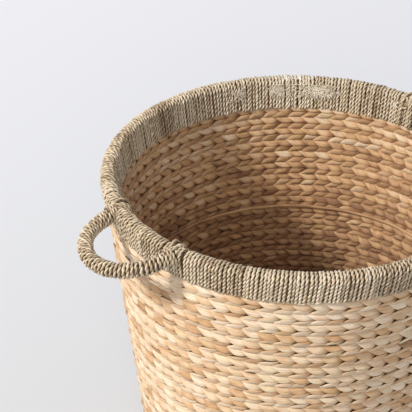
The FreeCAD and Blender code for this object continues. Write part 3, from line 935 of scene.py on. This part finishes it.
# ------------------------------------------------------------------ handles
HANDLE_LOW, HANDLE_HIGH = node_box("handle_wrap_right")
HANDLE_BEND = 46 * MM
HANDLE_RADIUS = 8 * MM
HANDLE_SPLAY = math.radians(6)
HANDLE_DROOP = math.radians(9.6)
HANDLE_LEG = 30 * MM
HANDLE_PITCH = 3.85 * MM
HANDLE_SPACING = 0.5 * MM
HANDLE_CROWD = 0.10
HANDLE_ROUGHNESS = 0.22 * MM
HANDLE_TONE = 0.56
HANDLE_TONE_SPREAD = 0.07


def handle_centre():
    """The middle of the right handle's round end."""
    return np.array((HANDLE_HIGH[0] - HANDLE_RADIUS - HANDLE_BEND * math.cos(HANDLE_DROOP), 0.0,
                     HANDLE_LOW[2] + HANDLE_RADIUS + HANDLE_BEND * math.sin(HANDLE_DROOP)))


def handle_place(points, facing):
    """Carries points of the flat handle plane (x outward) to the basket."""
    tilt = np.array(((math.cos(HANDLE_DROOP), 0, math.sin(HANDLE_DROOP)), (0, 1, 0),
                     (-math.sin(HANDLE_DROOP), 0, math.cos(HANDLE_DROOP))))
    placed = points @ tilt.T + handle_centre()
    return placed * np.array((facing, facing, 1.0))


def handle_line():
    """The handle's centreline in its own plane, from the back root to the front root."""
    cos, sin = math.cos(HANDLE_SPLAY), math.sin(HANDLE_SPLAY)
    leg = np.linspace(HANDLE_LEG, 0, 30, endpoint=False)
    first = np.stack((HANDLE_BEND * sin - leg * cos, -HANDLE_BEND * cos - leg * sin), axis=1)
    sweep = np.linspace(HANDLE_SPLAY - math.pi / 2, math.pi / 2 - HANDLE_SPLAY, 120)
    bend = HANDLE_BEND * np.stack((np.cos(sweep), np.sin(sweep)), axis=1)
    last = first[::-1] * np.array((1, -1))
    line = np.concatenate((first, bend, last))
    return np.concatenate((line, np.zeros((len(line), 1))), axis=1)


def handle_wrap(side, facing, material):
    """The cord wound round the handle, turn against turn."""
    line = resample(handle_line(), HANDLE_SPACING)
    length = HANDLE_SPACING * (len(line) - 1)
    turns = length / HANDLE_PITCH
    steps = int(turns * TAU * (HANDLE_RADIUS - CORD) / CORD_STEP)
    along = np.linspace(0, 1, steps)
    crowd = soft_noise(steps, int(turns / 2), HANDLE_CROWD)
    phase = TAU * (turns * along + crowd)
    where = along * (len(line) - 1)
    middle = np.stack([np.interp(where, np.arange(len(line)), line[:, k]) for k in range(3)], axis=1)
    tangent = unit(np.gradient(middle, axis=0))
    upright = np.tile((0.0, 0.0, 1.0), (steps, 1))
    sideways = np.cross(upright, tangent)
    radial = np.cos(phase)[:, None] * upright + np.sin(phase)[:, None] * sideways
    radius = HANDLE_RADIUS - CORD + soft_noise(steps, int(2 * turns), HANDLE_ROUGHNESS)
    helix = handle_place(middle + radius[:, None] * radial, facing)
    core = handle_place(middle, facing)
    tubes = Tubes()
    tone = HANDLE_TONE + soft_noise(steps, int(turns), HANDLE_TONE_SPREAD)
    add_cord(tubes, helix, helix - core, CORD, tone)
    place(tubes.build(f"handle_cord_{side}", material), "twisted_cord", f"handle_wrap_{side}")


def leg_line(sign, facing):
    """A point on a handle leg and the leg's direction; sign is the side of the handle."""
    cos, sin = math.cos(HANDLE_SPLAY), math.sin(HANDLE_SPLAY)
    near = np.array((HANDLE_BEND * sin, sign * HANDLE_BEND * cos, 0.0))
    ends = handle_place(np.array((near, near + HANDLE_LEG * np.array((-cos, sign * sin, 0.0)))),
                        facing)
    return ends[0], unit(ends[1] - ends[0])


def off_leg(points, leg):
    """Distance of points from a leg's axis."""
    start, direction = leg
    away = points - start
    away = away - (away @ direction)[:, None] * direction
    return np.linalg.norm(away, axis=1)


LASHING_ANGLE = 13.9
LASHING_HALF = 3.0
LASHING_TURNS = 6
LASHING_PROUD = -0.3 * MM
LASHING_SPREAD = 0.06
LASHING_TONE = 0.54
LASHING_TONE_SPREAD = 0.07
# crossed turns: angles in degrees outside and inside the rim, and how far they stand out
CROSSINGS = ((-2.6, 2.9, 1.6 * MM), (-1.5, 2.0, 2.4 * MM), (2.7, -2.8, 3.2 * MM),
             (1.3, -1.9, 3.9 * MM))
CROSSING_TONE = 0.55
CROSSING_TONE_SPREAD = 0.06
CROSSING_STEEPNESS = 9
CROSSING_PLACE = 0.42
TUCK_START = 0.72
TUCK_SHARE = 0.45


def lashing(name, middle, leg, material, node):
    """The cord that ties a handle root to the rim: turns on both sides of the leg, then a cross."""
    def clear_of_leg(points):
        radius = np.hypot(points[:, 0], points[:, 1])
        return (off_leg(points, leg) > HANDLE_RADIUS - CORD) | (radius < RIM_CENTRE[0])

    tubes = Tubes()
    for number in range(LASHING_TURNS):
        here = middle + LASHING_HALF * (2 * (number + 0.5) / LASHING_TURNS - 1)
        here += LASHING_SPREAD * rng.standard_normal()
        rim_turn(tubes, math.radians(here), LASHING_PROUD, 0.0,
                 LASHING_TONE + LASHING_TONE_SPREAD * rng.standard_normal(), clear_of_leg)
    for start, end, proud in CROSSINGS:
        line = resample(rim_path(CORD - proud), CORD_STEP)
        share = np.linspace(0, 1, len(line))
        slide = 1 / (1 + np.exp(-CROSSING_STEEPNESS * (share - CROSSING_PLACE)))
        angles = np.radians(middle + start + (end - start) * slide)
        centres = rim_points(angles, line[:, 0], line[:, 1])
        core = rim_core(angles, line)
        tuck = np.clip(np.abs(share - 0.5) * 2 - TUCK_START, 0, 1) / (1 - TUCK_START)
        centres = centres - (centres - core) * (TUCK_SHARE * tuck ** 2)[:, None]
        shown = np.flatnonzero(clear_of_leg(centres) | (share > 0.5))
        longest = max(np.split(shown, np.flatnonzero(np.diff(shown) > 1) + 1), key=len)
        add_cord(tubes, centres[longest], (centres - core)[longest], CORD,
                 CROSSING_TONE + CROSSING_TONE_SPREAD * rng.standard_normal())
    collar(tubes, leg)
    place(tubes.build(name, material), "twisted_cord", node)


COLLAR_TURNS = 2.2
COLLAR_START = 2.2
COLLAR_RINGS = 90
COLLAR_WIDTH = 6.5 * MM
COLLAR_STANDOFF = 1.0 * MM
COLLAR_TUCK = 3.0 * MM
COLLAR_DEPTH = 4 * MM
COLLAR_TONE = 0.5
ROOT_POINTS = 200


def collar(tubes, leg):
    """Two loose turns round the leg where it meets the rim."""
    start, direction = leg
    reach = HANDLE_LEG * np.linspace(0, 1, ROOT_POINTS)
    line = start + reach[:, None] * direction
    inside = np.hypot(line[:, 0], line[:, 1]) < RIM_RADIUS - COLLAR_DEPTH
    root = reach[np.argmax(inside)]
    sideways = unit(np.cross(direction, (0.0, 0.0, 1.0)))
    upright = np.cross(sideways, direction)
    share = np.linspace(0, 1, COLLAR_RINGS)
    phase = TAU * COLLAR_TURNS * share + COLLAR_START
    radial = np.cos(phase)[:, None] * sideways + np.sin(phase)[:, None] * upright
    radius = HANDLE_RADIUS + COLLAR_STANDOFF - COLLAR_TUCK * (2 * share - 1) ** 8
    middle = start + (root - COLLAR_WIDTH * share)[:, None] * direction
    add_cord(tubes, middle + radius[:, None] * radial, radial, CORD, COLLAR_TONE)


# ------------------------------------------------------------------ floor and light
FLOOR_SIZE = 8.0
SHADE_DIRECTION = (0.64, 0.77, 0)
SHADE_LENGTH = 1.2
# painted shade on the floor: its colour runs from darker in front to paler at the back right
FLOOR_SHADE_RAMP = ((0.0, (0.60, 0.62, 0.645)), (1.0, (0.80, 0.81, 0.85)))
SURROUND = (0.95, 0.96, 1.0, 1)
SURROUND_STRENGTH = 0.50
LAMP_AIM = (0, 0, 0.25)
# name, position, size, power and colour
LAMPS = (("key", (-5.4, 0.9, 4.5), 1.1, 490, (1.0, 0.97, 0.93)),
         ("fill", (-2.6, -3.1, 2.6), 2.0, 48, (1.0, 0.96, 0.92)))


def studio():
    """A pale floor with painted shade, darker near the front and paler away to the back right, a soft
    key and fill and a pale surround.
    """
    size = FLOOR_SIZE
    mesh = bpy.data.meshes.new("floor")
    mesh.from_pydata([(-size, -size, 0), (size, -size, 0), (size, size, 0), (-size, size, 0)], [],
                     [(0, 1, 2, 3)])
    floor = bpy.data.objects.new("floor", mesh)
    bpy.context.scene.collection.objects.link(floor)
    material, nodes, links, shader = new_material("floor")
    where = nodes.new("ShaderNodeTexCoord")
    away = nodes.new("ShaderNodeVectorMath")
    away.operation = "DOT_PRODUCT"
    away.inputs[1].default_value = SHADE_DIRECTION
    links.new(where.outputs["Object"], away.inputs[0])
    fade = nodes.new("ShaderNodeMapRange")
    fade.inputs["From Min"].default_value = 0.0
    fade.inputs["From Max"].default_value = SHADE_LENGTH
    links.new(away.outputs["Value"], fade.inputs["Value"])
    floor_shade = ramp(nodes, FLOOR_SHADE_RAMP)
    links.new(fade.outputs[0], floor_shade.inputs[0])
    links.new(floor_shade.outputs[0], shader.inputs["Base Color"])
    shader.inputs["Roughness"].default_value = 0.9
    mesh.materials.append(material)
    world = bpy.data.worlds.new("world")
    world.use_nodes = True
    world.node_tree.nodes["Background"].inputs[0].default_value = SURROUND
    world.node_tree.nodes["Background"].inputs[1].default_value = SURROUND_STRENGTH
    bpy.context.scene.world = world
    for settings in LAMPS:
        lamp(*settings)
    bpy.context.scene.view_settings.view_transform = "Standard"


def lamp(name, position, size, power, color):
    """A round area lamp that faces the basket."""
    data = bpy.data.lights.new(name, "AREA")
    data.shape = "DISK"
    data.size = size
    data.energy = power
    data.color = color
    light = bpy.data.objects.new(name, data)
    light.location = position
    aim = Vector(LAMP_AIM) - Vector(position)
    light.rotation_euler = aim.to_track_quat("-Z", "Y").to_euler()
    bpy.context.scene.collection.objects.link(light)


# ------------------------------------------------------------------ the whole basket
make_camera()
studio()
strand = strand_material()
cord = cord_material()
cane = cane_material()
for course in range(1, WALL_COURSES + 1):
    wall_course(course, strand)
hidden_course(strand)
inner_ring(strand)
base(strand)
foot(strand)
for side, start, end in RIM_STRETCHES:
    rim_wrap(f"rim_cord_{side}", start, end, cord, f"rim_wrap_{side}")
frays(cord)
for side, facing, around in (("right", 1, 0), ("left", -1, 180)):
    handle_wrap(side, facing, cord)
    for end, sign in (("front", -facing), ("back", facing)):
        lashing(f"lashing_cord_{side}_{end}", around + sign * LASHING_ANGLE,
                leg_line(sign, facing), cord, f"handle_lashing_{side}_{end}")
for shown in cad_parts.values():
    shown.data.materials.clear()
    shown.data.materials.append(cane)
